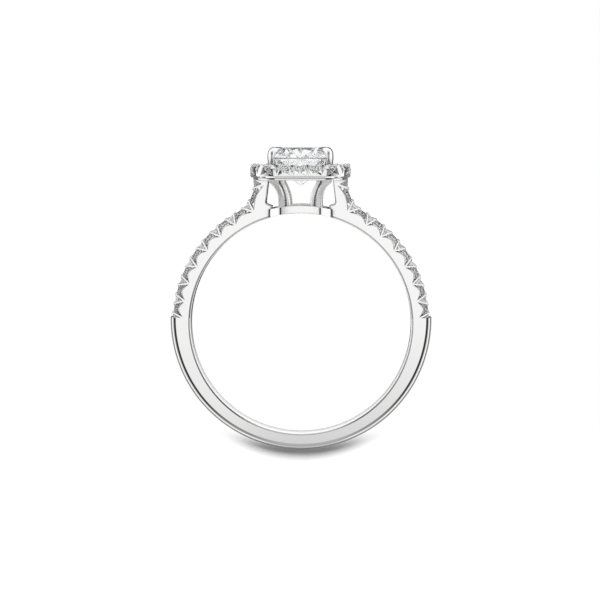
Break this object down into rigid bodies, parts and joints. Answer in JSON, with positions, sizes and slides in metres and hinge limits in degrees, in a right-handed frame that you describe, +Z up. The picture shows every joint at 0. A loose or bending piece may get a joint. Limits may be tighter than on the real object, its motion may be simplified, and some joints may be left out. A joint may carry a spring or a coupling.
{
  "type": "diamond engagement ring",
  "caption": "Polished white-gold finger ring: a cushion-cut stone in claws, a square halo of round stones on split legs, and a band with stone-set shoulders sweeping up to the halo.",
  "frame": {"origin": "on the surface that the ring lies on, under the middle of its bounding box", "axes": "+Y from the back of the band towards the head, +X across the head, +Z up from the surface; the finger hole's axis leans about 8 degrees from +Z because the ring rests on the edge of its halo and the back of its band"},
  "size_m": [0.02, 0.0234, 0.0076],
  "materials": {
    "white_gold": "high polish white gold",
    "centre_diamond": "cut and polished colourless diamond",
    "small_diamond": "cut and polished colourless diamond"
  },
  "bodies": {
    "root": {"ring_mount": "white_gold", "centre_stone": "centre_diamond", "halo_stone_1": "small_diamond", "halo_stone_2": "small_diamond", "halo_stone_3": "small_diamond", "halo_stone_4": "small_diamond", "halo_stone_5": "small_diamond", "halo_stone_6": "small_diamond", "halo_stone_7": "small_diamond", "halo_stone_8": "small_diamond", "halo_stone_9": "small_diamond", "halo_stone_10": "small_diamond", "halo_stone_11": "small_diamond", "halo_stone_12": "small_diamond", "halo_stone_13": "small_diamond", "halo_stone_14": "small_diamond", "halo_stone_15": "small_diamond", "halo_stone_16": "small_diamond", "halo_stone_17": "small_diamond", "halo_stone_18": "small_diamond", "halo_stone_19": "small_diamond", "halo_stone_20": "small_diamond", "left_shoulder_stone_1": "small_diamond", "left_shoulder_stone_2": "small_diamond", "left_shoulder_stone_3": "small_diamond", "left_shoulder_stone_4": "small_diamond", "left_shoulder_stone_5": "small_diamond", "left_shoulder_stone_6": "small_diamond", "left_shoulder_stone_7": "small_diamond", "left_shoulder_stone_8": "small_diamond", "right_shoulder_stone_1": "small_diamond", "right_shoulder_stone_2": "small_diamond", "right_shoulder_stone_3": "small_diamond", "right_shoulder_stone_4": "small_diamond", "right_shoulder_stone_5": "small_diamond", "right_shoulder_stone_6": "small_diamond", "right_shoulder_stone_7": "small_diamond", "right_shoulder_stone_8": "small_diamond"}
  },
  "joints": []
}
